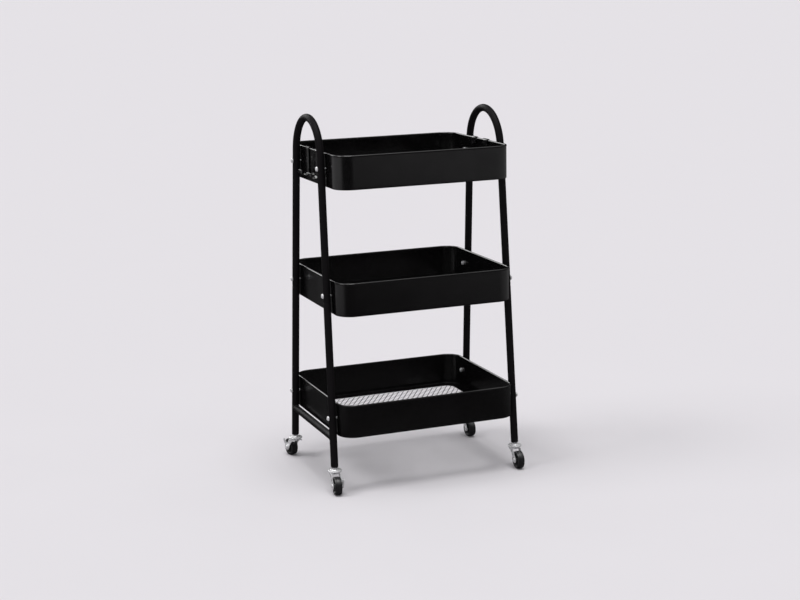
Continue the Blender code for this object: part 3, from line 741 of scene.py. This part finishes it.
def add_selvage(shape, knots, columns, rows):
    """Plain strip round the lattice that closes its edge."""
    last_i, last_j = 2 * columns, 2 * rows
    edge = [(i, 0) for i in range(0, last_i, 2)] + [(last_i, j) for j in range(0, last_j, 2)]
    edge += [(i, last_j) for i in range(last_i, 0, -2)] + [(0, j) for j in range(last_j, 0, -2)]
    strip = []
    for i, j in edge:
        out_x = (i == last_i) - (i == 0)
        out_y = (j == last_j) - (j == 0)
        offset = Vector((out_x, out_y, 0)) * SELVAGE_WIDTH
        strip.append([shape.verts.new(vertex.co + offset) for vertex in knots[i, j]])
    join_strip(shape, [knots[place] for place in edge], strip)


def add_mesh_floor(tier_name, paint):
    node = f"{tier_name}_mesh_floor"
    low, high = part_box(node)
    half_x = high.x - MESH_MARGIN
    half_y = high.y - MESH_MARGIN
    columns = round(2 * half_x / MESH_PITCH_X)
    rows = round(2 * half_y / MESH_PITCH_Y)
    shape = lattice(half_x, half_y, columns, rows, (low.z + high.z) / 2)
    add_piece(f"{node}_lattice", mesh_of(node, shape, 20), paint, CART, [node])


# ---------------------------------------------------------------- fasteners

def cross_recess(length):
    """The cutter for a cross recess, which narrows as it goes down from the head's top at that length."""
    arm, half = RECESS_REACH, RECESS_HALF_WIDTH
    cross = [(arm, half), (half, half), (half, arm), (-half, arm), (-half, half), (-arm, half),
             (-arm, -half), (-half, -half), (-half, -arm), (half, -arm), (half, -half), (arm, -half)]
    shape = bmesh.new()
    depths = ((length + 0.2 * MM, 1.0), (length - 1.1 * MM, 0.8), (length - 2.0 * MM, 0.3))
    rings = [ring(shape, [(x * size, y * size, z) for x, y in cross]) for z, size in depths]
    for first, second in zip(rings, rings[1:]):
        join_rings(shape, first, second)
    shape.faces.new(rings[0])
    shape.faces.new(rings[-1])
    return shape


def screw_mesh(length):
    """Pan-head screw along +Z from its tip, with a cross recess and a rolled thread near the tip."""
    seat = length - SCREW_HEAD_HEIGHT
    crown = filleted([
        (SCREW_RADIUS, seat, 0),
        (SCREW_HEAD_RADIUS, seat, 0.3 * MM),
        (SCREW_HEAD_RADIUS, seat + 1.9 * MM, 1.3 * MM),
        (2.9 * MM, length, 2.6 * MM),
        (0, length, 0),
    ], 5, closed=False)
    thread = []
    for turn in range(THREAD_TURNS):
        thread += [(SCREW_RADIUS - THREAD_DEPTH, (turn + 0.75) * THREAD_PITCH),
                   (SCREW_RADIUS, (turn + 1.25) * THREAD_PITCH)]
    profile = [(0, 0), (SCREW_RADIUS - 0.7 * MM, 0), *thread, *crown]
    return combined("screw", turned(profile, 40), [("DIFFERENCE", cross_recess(length))])


def nut_mesh():
    """Hexagon nut with chamfered corners, its seat at z = 0."""
    beyond = 0.01 * MM
    corner = NUT_ACROSS_FLATS / 2 / math.cos(math.pi / 6)
    dome = turned([
        (0, -beyond),
        (4.1 * MM, -beyond),
        (4.8 * MM, NUT_CHAMFER),
        (4.8 * MM, NUT_HEIGHT - NUT_CHAMFER),
        (4.1 * MM, NUT_HEIGHT + beyond),
        (0, NUT_HEIGHT + beyond),
    ], 64)
    hole = turned([
        (0, -MM),
        (NUT_BORE + MM, -MM),
        (NUT_BORE, 0.2 * MM),
        (NUT_BORE, NUT_HEIGHT - 0.4 * MM),
        (NUT_BORE + 0.5 * MM, NUT_HEIGHT + 0.1 * MM),
        (0, NUT_HEIGHT + 0.1 * MM),
    ], 40)
    blank = prism(hexagon(corner), 0, NUT_HEIGHT)
    return combined("nut", blank, [("INTERSECT", dome), ("DIFFERENCE", hole)])


def add_fasteners(zinc):
    nut = nut_mesh()
    screw = None
    twist_degrees = 0
    for tier_name in TIERS:
        for end_name in ENDS:
            for side_name, side in SIDES.items():
                name = f"{tier_name}_{end_name}_{side_name}"
                low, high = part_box(f"{name}_screw")
                middle = (low + high) / 2
                screw = screw or screw_mesh(high.x - low.x)
                outward = Matrix.Rotation(side * math.pi / 2, 4, "Y")
                twist_degrees = (twist_degrees + SCREW_TWIST_STEP) % 90
                twist = Matrix.Rotation(math.radians(twist_degrees), 4, "Z")
                tip = low.x if side > 0 else high.x
                add_piece(f"{name}_screw_body", screw, zinc, CART, [f"{name}_screw"],
                          place(tip, middle.y, middle.z) @ outward @ twist)
                nut_low, nut_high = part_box(f"{name}_nut")
                seat = nut_low.x if side > 0 else nut_high.x
                add_piece(f"{name}_nut_body", nut, zinc, CART, [f"{name}_nut"],
                          place(seat, middle.y, middle.z) @ outward @ twist)


# ---------------------------------------------------------------- hooks

def hook_path(outer_drop):
    """Middle line of a hook: (out from the rim's face, up from the rim's top). Its curl's lowest point is
    outer_drop below the rim's top."""
    bend = RIM_BEAD + GAP + HOOK_SHEET / 2
    over = arc((-RIM_BEAD, -RIM_BEAD), bend, math.pi, 0, 18)
    curl_height = HOOK_CURL_RADIUS + HOOK_SHEET / 2 - outer_drop
    curl_middle = (bend - RIM_BEAD + HOOK_CURL_RADIUS, curl_height)
    curl = arc(curl_middle, HOOK_CURL_RADIUS, math.pi, 2 * math.pi, 22)
    tip = (curl[-1][0], curl_height + HOOK_CURL_RISE)
    return subdivided([(-RIM_BEAD - bend, -HOOK_INNER_DROP), *over, *curl, tip], 1.2 * MM)


def add_hook(side_name, side, end_name, paint):
    node = f"{side_name}_{end_name}_hook"
    low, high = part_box(node)
    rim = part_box("top_tray")[1]
    shape = strap(hook_path(rim.z - low.z), HOOK_WIDTH, HOOK_SHEET, HOOK_CORNER)
    mesh = combined(node, shape, [], bevel=0.35 * MM)
    turn = Matrix.Rotation(0 if side > 0 else math.pi, 4, "Z")
    spot = place(side * rim.x, (low.y + high.y) / 2, rim.z)
    add_piece(f"{node}_strip", mesh, paint, f"{node}_body", [node], spot @ turn)


# ---------------------------------------------------------------- casters

class Caster:
    """Where one caster is: its swivel axis and its axle, from the frame's joints."""

    def __init__(self, name):
        self.name = name
        swivel = Vector(joints[f"{name}_swivel"]["pos_m"])
        axle = Vector(joints[f"{name}_wheel_spin"]["pos_m"])
        self.trail = (axle - swivel).xy.length
        self.wheel_radius = axle.z
        heading = math.atan2(axle.y - swivel.y, axle.x - swivel.x)
        self.matrix = place(swivel.x, swivel.y, 0) @ Matrix.Rotation(heading, 4, "Z")
        self.braked = f"{name}_brake" in joints

    def axle_matrix(self):
        """Local Z runs along the axle, towards the brake side."""
        return self.matrix @ place(self.trail, 0, self.wheel_radius) @ Matrix.Rotation(-math.pi / 2, 4, "X")


def stem_mesh():
    """Stem and hollow race plate: a domed pressing over a hexagon collar, with the kingpin below."""
    pin_end = FORK_TOP - CASTER_SHEET - GAP
    ceiling = RACE_BOTTOM + CASTER_SHEET
    profile = filleted([
        (0, STEM_TOP, 0),
        (STEM_RADIUS, STEM_TOP, 0.8 * MM),
        (STEM_RADIUS, 50.5 * MM, 0.6 * MM),
        (8.4 * MM, 50.2 * MM, 1.0 * MM),
        (9.6 * MM, 48.9 * MM, 0.8 * MM),
        (12.4 * MM, 48.6 * MM, 0.8 * MM),
        (RACE_RADIUS, 47.8 * MM, 0.8 * MM),
        (RACE_RADIUS, RACE_BOTTOM, 0.35 * MM),
        (13.8 * MM, RACE_BOTTOM, 0.35 * MM),
        (13.6 * MM, ceiling, 0.8 * MM),
        (KINGPIN_RADIUS, ceiling, 0.5 * MM),
        (KINGPIN_RADIUS, pin_end, 0),
        (5.0 * MM, pin_end, 0.3 * MM),
        (4.4 * MM, pin_end - MM, 0.6 * MM),
        (0, pin_end - MM, 0),
    ], 4, closed=False)
    collar = prism(hexagon(COLLAR_CORNER), COLLAR_BOTTOM, COLLAR_TOP)
    return combined("caster_stem", turned(profile, 64), [("UNION", collar)], bevel=0.25 * MM)


def fork_side(trail, axle_height):
    """Side view of the fork: swept cheeks that end in a round boss at the axle."""
    boss = arc(Vector((trail, axle_height)), BOSS, math.radians(18), math.radians(-168), 26)
    start = Vector(boss[-1])
    back_of_cheek = Vector((-9.5 * MM, 39.5 * MM))
    bulge = Vector((0.45, 1.0)).normalized() * CHEEK_BULGE
    shares = [step / 10 for step in range(1, 10)]
    neck = [tuple(start.lerp(back_of_cheek, share) + bulge * math.sin(math.pi * share)) for share in shares]
    above = FORK_TOP + MM
    top = [(FORK_BACK, 40.2 * MM), (FORK_BACK, above), (FORK_FRONT, above), (FORK_FRONT, 40.6 * MM)]
    return boss + neck + top


def drill(radius, low, high, sides):
    """A cutter for a round hole along Z."""
    return turned([(0, low), (radius, low), (radius, high), (0, high)], sides)


def fork_mesh(trail, axle_height):
    """Folded sheet fork: a U section, cut to the side view, with a raised race round the kingpin's hole."""
    outer = FORK_INNER + CASTER_SHEET
    bottom = axle_height - BOSS - MM
    ceiling = FORK_TOP - CASTER_SHEET
    section = filleted([
        (-outer, bottom, 0),
        (-outer, FORK_TOP, 2.6 * MM),
        (outer, FORK_TOP, 2.6 * MM),
        (outer, bottom, 0),
        (FORK_INNER, bottom, 0),
        (FORK_INNER, ceiling, 1.1 * MM),
        (-FORK_INNER, ceiling, 1.1 * MM),
        (-FORK_INNER, bottom, 0),
    ], 6)
    channel = prism(section, -14 * MM, trail + BOSS + MM)
    channel.transform(Matrix(((0, 0, 1, 0), (1, 0, 0, 0), (0, 1, 0, 0), (0, 0, 0, 1))))
    side_view = sideways(prism(fork_side(trail, axle_height), -2 * outer, 2 * outer))
    race = turned(filleted([
        (5.2 * MM, FORK_TOP - 0.4 * MM, 0),
        (9.6 * MM, FORK_TOP - 0.4 * MM, 0),
        (8.8 * MM, FORK_TOP + 0.9 * MM, 0.5 * MM),
        (6.0 * MM, FORK_TOP + 0.9 * MM, 0.5 * MM),
    ], 4), 64)
    pin_hole = drill(KINGPIN_RADIUS + GAP, 30 * MM, 50 * MM, 40)
    axle_hole = drill(AXLE_HOLE, -2 * outer, 2 * outer, 40)
    axle_hole.transform(place(trail, 0, axle_height) @ Matrix.Rotation(-math.pi / 2, 4, "X"))
    steps = [("INTERSECT", side_view), ("UNION", race), ("DIFFERENCE", pin_hole), ("DIFFERENCE", axle_hole)]
    return combined("caster_fork", channel, steps, bevel=0.22 * MM)


def wheel_mesh(radius):
    """Moulded wheel: crowned tread with two shallow grooves, recessed webs with ribs, and a hub."""
    half = filleted([
        (AXLE_HOLE, 0, 0),
        (AXLE_HOLE, HUB_HALF_WIDTH, 0.3 * MM),
        (5.4 * MM, HUB_HALF_WIDTH, 0.5 * MM),
        (5.9 * MM, WEB_HALF_WIDTH, 0.5 * MM),
        (13.9 * MM, WEB_HALF_WIDTH, 0.8 * MM),
        (14.6 * MM, TREAD_HALF_WIDTH, 0.5 * MM),
        (radius - 1.0 * MM, TREAD_HALF_WIDTH, 1.0 * MM),
        (radius - 0.3 * MM, 4.9 * MM, 0.3 * MM),
        (radius - 1.1 * MM, 4.5 * MM, 0.25 * MM),
        (radius - 1.1 * MM, 3.7 * MM, 0.25 * MM),
        (radius - 0.1 * MM, 3.3 * MM, 0.3 * MM),
        (radius, 0, 0),
    ], 4, closed=False)[1:-1]
    profile = half + [(r, -z) for r, z in reversed(half)]
    start, end, half_rib = 4.5 * MM, 14.4 * MM, 0.6 * MM
    outline = [(start, -half_rib), (end, -half_rib), (end, half_rib), (start, half_rib)]
    ribs = []
    for low, high in ((-6.6 * MM, -4.6 * MM), (4.6 * MM, 6.6 * MM)):
        for index in range(WHEEL_RIBS):
            rib = prism(outline, low, high)
            rib.transform(Matrix.Rotation(2 * math.pi * index / WHEEL_RIBS, 4, "Z"))
            ribs.append(("UNION", rib))
    return combined("caster_wheel", turned(profile, 72), ribs)


def axle_mesh(braked):
    """Riveted axle with domed, dimpled heads. On a braked caster it reaches through the lever too."""
    far = FORK_INNER + CASTER_SHEET + GAP
    near = far + (CASTER_SHEET + GAP if braked else 0)
    profile = filleted([
        (0, -far - RIVET_HEAD_HEIGHT + 0.4 * MM, 0),
        (1.3 * MM, -far - RIVET_HEAD_HEIGHT + 0.4 * MM, 0.2 * MM),
        (1.9 * MM, -far - RIVET_HEAD_HEIGHT, 0.4 * MM),
        (4.0 * MM, -far - RIVET_HEAD_HEIGHT + 0.2 * MM, 0.9 * MM),
        (RIVET_HEAD_RADIUS, -far - 0.2 * MM, 0.5 * MM),
        (RIVET_HEAD_RADIUS, -far, 0),
        (AXLE_RADIUS, -far, 0),
        (AXLE_RADIUS, near, 0),
        (RIVET_HEAD_RADIUS, near, 0),
        (RIVET_HEAD_RADIUS, near + 0.3 * MM, 0.4 * MM),
        (4.2 * MM, near + RIVET_HEAD_HEIGHT - 0.2 * MM, 0.9 * MM),
        (1.9 * MM, near + RIVET_HEAD_HEIGHT, 0.4 * MM),
        (1.3 * MM, near + RIVET_HEAD_HEIGHT - 0.4 * MM, 0.2 * MM),
        (0, near + RIVET_HEAD_HEIGHT - 0.4 * MM, 0),
    ], 4, closed=False)
    return mesh_of("caster_axle", turned(profile, 40))


def lever_mesh():
    """Brake lever: a hub on the axle, an arm beside the cheek and a pedal that lies level when raised. Local
    Z runs along the axle and X along the arm."""
    low = FORK_INNER + CASTER_SHEET + GAP
    high = low + CASTER_SHEET
    middle = low + CASTER_SHEET / 2
    path = subdivided([(MM, middle), (LEVER_REACH, middle)], 0.8 * MM)
    arm = strap(path, LEVER_WIDTH, CASTER_SHEET, 3.4 * MM)
    hub = turned([(AXLE_HOLE, low), (BOSS, low), (BOSS, high), (AXLE_HOLE, high)], 56)
    half_width = PEDAL_WIDTH / 2
    pedal = prism(filleted([
        (0, -half_width, 0),
        (PEDAL_LENGTH, -half_width, 3.2 * MM),
        (PEDAL_LENGTH, half_width, 3.2 * MM),
        (0, half_width, 0),
    ]), -CASTER_SHEET / 2, CASTER_SHEET / 2)
    level = Matrix.Rotation(LEVER_RAISED, 4, "Z") @ Matrix.Rotation(-math.pi / 2, 4, "Y")
    pedal.transform(place(PEDAL_PLACE, 0, low) @ level)
    hole = drill(AXLE_HOLE, 0, 2 * (low + PEDAL_LENGTH), 56)
    pressed_rib = sideways(prism(rounded_rectangle(5.5 * MM, 1.0 * MM, 0.9 * MM, 5), -0.5 * MM, 0.5 * MM))
    pressed_rib.transform(place(13.5 * MM, 0, 0) @ Matrix.Rotation(math.pi / 2, 4, "X"))
    pressed_rib.transform(place(0, 0, high))
    steps = [("UNION", hub), ("UNION", pedal), ("DIFFERENCE", hole), ("UNION", pressed_rib)]
    return combined("brake_lever", arm, steps, bevel=0.25 * MM)


def add_casters(zinc, wheel_plastic):
    names = [name[:-len("_swivel")] for name in joints if name.endswith("_swivel")]
    stem = stem_mesh()
    axles = {braked: axle_mesh(braked) for braked in (False, True)}
    lever = lever_mesh()
    fork, wheel = None, None
    for name in names:
        caster = Caster(name)
        fork = fork or fork_mesh(caster.trail, caster.wheel_radius)
        wheel = wheel or wheel_mesh(caster.wheel_radius)
        swivel_body = f"{name}_swivel_body"
        add_piece(f"{name}_stem_and_race", stem, zinc, CART, [f"{name}_caster_stem"], caster.matrix)
        add_piece(f"{name}_fork_pressing", fork, zinc, swivel_body, [f"{name}_caster_fork"],
                  caster.matrix)
        add_piece(f"{name}_axle_rivet", axles[caster.braked], zinc, swivel_body,
                  [f"{name}_caster_axle"], caster.axle_matrix())
        add_piece(f"{name}_wheel_moulding", wheel, wheel_plastic, f"{name}_wheel_body",
                  [f"{name}_caster_wheel"], caster.axle_matrix())
        if caster.braked:
            raised = Matrix.Rotation(-LEVER_RAISED, 4, "Z")
            add_piece(f"{name}_brake_pressing", lever, zinc, f"{name}_brake_body",
                      [f"{name}_brake_lever"], caster.axle_matrix() @ raised)


# ---------------------------------------------------------------- stage, light and camera

BACKDROP = (0.791, 0.768, 0.799)
BLACK = (0.0, 0.0, 0.0)
CAMERA_LENS = 71.54
CAMERA_AZIMUTH = math.radians(21.63)
CAMERA_DOWN = math.radians(12.15)
CAMERA_ROLL = math.radians(-1.054)
CAMERA_TARGET = Vector((-0.00267, 0.0, 0.37165))
CAMERA_DISTANCE = 3.5119


def dot(tree, vector, aim):
    product = add_node(tree, "ShaderNodeVectorMath", {0: vector, 1: aim}, operation="DOT_PRODUCT")
    return product.outputs["Value"]


def painted_reflection_level(tree, spot, reach):
    """Painted reflection: how bright the floor looks in reflections, lit close to the cart, dark farther out
    as if black flags stood there, and with painted glows a long way off to the right and to the left, where
    no lamp stands."""
    level = map_range(tree, reach, 0.30, 0.65, 0.08, 0.02)
    right_glow = map_range(tree, dot(tree, spot, (1.0, 0.0, 0.0)), 0.4, 2.3, 0.0, 0.18)
    heading = add_node(tree, "ShaderNodeVectorMath", {0: spot}, operation="NORMALIZE").outputs["Vector"]
    left_band = map_range(tree, dot(tree, heading, (-0.961, 0.276, 0.0)), 0.60, 0.85, 0.0, 1.0)
    left_glow = calculate(tree, "MULTIPLY", left_band, map_range(tree, reach, 0.6, 3.4, 0.0, 0.32))
    return calculate(tree, "ADD", calculate(tree, "ADD", level, right_glow), left_glow)


def add_floor():
    """A wide pale disc with painted light close to the cart, which thins the cart's shade on it, and a
    darker painted reflection colour that glossy surfaces see instead of its own.
    """
    shape = bmesh.new()
    bmesh.ops.create_circle(shape, cap_ends=True, segments=96, radius=90.0)
    floor = bpy.data.objects.new("studio_floor", mesh_of("studio_floor", shape))
    bpy.context.scene.collection.objects.link(floor)
    material, tree, shader = new_material("floor_paint")
    shader.inputs["Roughness"].default_value = 0.9
    shader.inputs["Specular IOR Level"].default_value = 0.0
    spot = add_node(tree, "ShaderNodeNewGeometry").outputs["Position"]
    reach = add_node(tree, "ShaderNodeVectorMath", {0: spot}, operation="LENGTH").outputs["Value"]
    # Glossy rays see the painted reflection instead of the floor's own colour.
    painted_reflection = mix_colours(tree, painted_reflection_level(tree, spot, reach), BLACK, (1.0, 0.98, 1.0))
    # Painted light: the floor is made a shade lighter close to the cart, thinning the cart's shade on it.
    painted_light_near_cart = map_range(tree, reach, 0.2, 1.3, 1.045, 1.0)
    painted_light_floor = add_node(tree, "ShaderNodeVectorMath", {0: BACKDROP, "Scale": painted_light_near_cart}, operation="SCALE")
    grain = mix_colours(tree, noise(tree, 3, 2.0), scaled(BACKDROP, 0.995), painted_light_floor.outputs["Vector"])
    mirrored = add_node(tree, "ShaderNodeLightPath").outputs["Is Glossy Ray"]
    feed(tree, shader.inputs["Base Color"], mix_colours(tree, mirrored, grain, painted_reflection))
    floor.data.materials.append(material)


def add_world():
    """Even studio light. The camera sees the backdrop's colour above the floor's edge, and reflections see
    a dim room with a panel overhead and a strip light low behind the cart."""
    world = bpy.data.worlds.new("studio")
    bpy.context.scene.world = world
    world.use_nodes = True
    tree = world.node_tree
    rays = add_node(tree, "ShaderNodeLightPath")
    towards = add_node(tree, "ShaderNodeTexCoord").outputs["Generated"]
    up = add_node(tree, "ShaderNodeSeparateXYZ", {"Vector": towards}).outputs["Z"]
    strip_aim = Vector((-0.20, 0.909, 0.36)).normalized()
    strip = map_range(tree, dot(tree, towards, strip_aim), 0.92, 0.98, 0.0, 3.0)
    panel = map_range(tree, up, 0.45, 0.95, 0.05, 0.8)
    level = calculate(tree, "ADD", strip, panel)
    lit = add_node(tree, "ShaderNodeCombineColor", {"Red": level, "Green": level, "Blue": level})
    ambient = mix_colours(tree, rays.outputs["Is Glossy Ray"], (0.368, 0.368, 0.372), lit.outputs["Color"])
    seen = mix_colours(tree, rays.outputs["Is Camera Ray"], ambient, BACKDROP)
    feed(tree, tree.nodes["Background"].inputs["Color"], seen)


def add_sun(name, azimuth, elevation, strength, softness):
    """A distant lamp; azimuth is measured from +X towards +Y."""
    light = bpy.data.lights.new(name, "SUN")
    light.energy = strength
    light.angle = math.radians(softness)
    lamp = bpy.data.objects.new(name, light)
    bpy.context.scene.collection.objects.link(lamp)
    a, e = math.radians(azimuth), math.radians(elevation)
    source = Vector((math.cos(a) * math.cos(e), math.sin(a) * math.cos(e), math.sin(e)))
    lamp.rotation_mode = "QUATERNION"
    lamp.rotation_quaternion = source.to_track_quat("Z", "Y")


def add_camera():
    """From the front left, a little above the top tray."""
    camera = bpy.data.objects.new("camera", bpy.data.cameras.new("camera"))
    bpy.context.scene.collection.objects.link(camera)
    bpy.context.scene.camera = camera
    camera.data.lens = CAMERA_LENS
    level = Vector((math.cos(CAMERA_AZIMUTH), -math.sin(CAMERA_AZIMUTH), 0.0))
    ahead = Vector((math.sin(CAMERA_AZIMUTH), math.cos(CAMERA_AZIMUTH), 0.0))
    forward = ahead * math.cos(CAMERA_DOWN) - Vector((0.0, 0.0, math.sin(CAMERA_DOWN)))
    upright = level.cross(forward)
    right = level * math.cos(CAMERA_ROLL) + upright * math.sin(CAMERA_ROLL)
    up = right.cross(forward)
    turn = Matrix((right, up, -forward)).transposed().to_4x4()
    camera.matrix_world = Matrix.Translation(CAMERA_TARGET - forward * CAMERA_DISTANCE) @ turn


# ---------------------------------------------------------------- the whole scene

def build_cart():
    # The tubes' near-black is lighter than the trays' to stand in for the soft sheen along them: painted
    # sheen.
    tube_paint = powder_coat("tube_paint", 0.0085, 0.46, 0.05, 0.03)
    # The trays' edge grey, 0.30, is mostly a painted highlight that brightens the rim beads.
    tray_paint = powder_coat("tray_paint", 0.0028, 0.19, 1.0, 0.30)
    hook_paint = powder_coat("hook_paint", 0.0033, 0.20, 0.6, 0.08)
    zinc = zinc_plate("zinc", 0.24)
    plug_plastic = moulded_plastic("plug_plastic", (0.006, 0.006, 0.007), 0.42, 0.2)
    wheel_plastic = moulded_plastic("wheel_plastic", (0.008, 0.008, 0.009), 0.34, 0.8)
    for side_name, side in SIDES.items():
        add_hoop(side_name, side, tube_paint)
        add_lower_frame(side_name, side, tube_paint)
        for end_name, end in ENDS.items():
            add_leg_plug(end_name, side_name, side, end, plug_plastic)
            add_hook(side_name, side, end_name, hook_paint)
    for tier_name in TIERS:
        add_tray(tier_name, tray_paint)
        add_mesh_floor(tier_name, tray_paint)
    add_fasteners(zinc)
    add_casters(zinc, wheel_plastic)


build_cart()
add_floor()
add_world()
add_sun("overhead_softbox", -100, 84, 1.40, 34)
add_sun("side_softbox", 173, 47, 0.78, 28)
add_camera()
bpy.context.scene.view_settings.view_transform = "Standard"
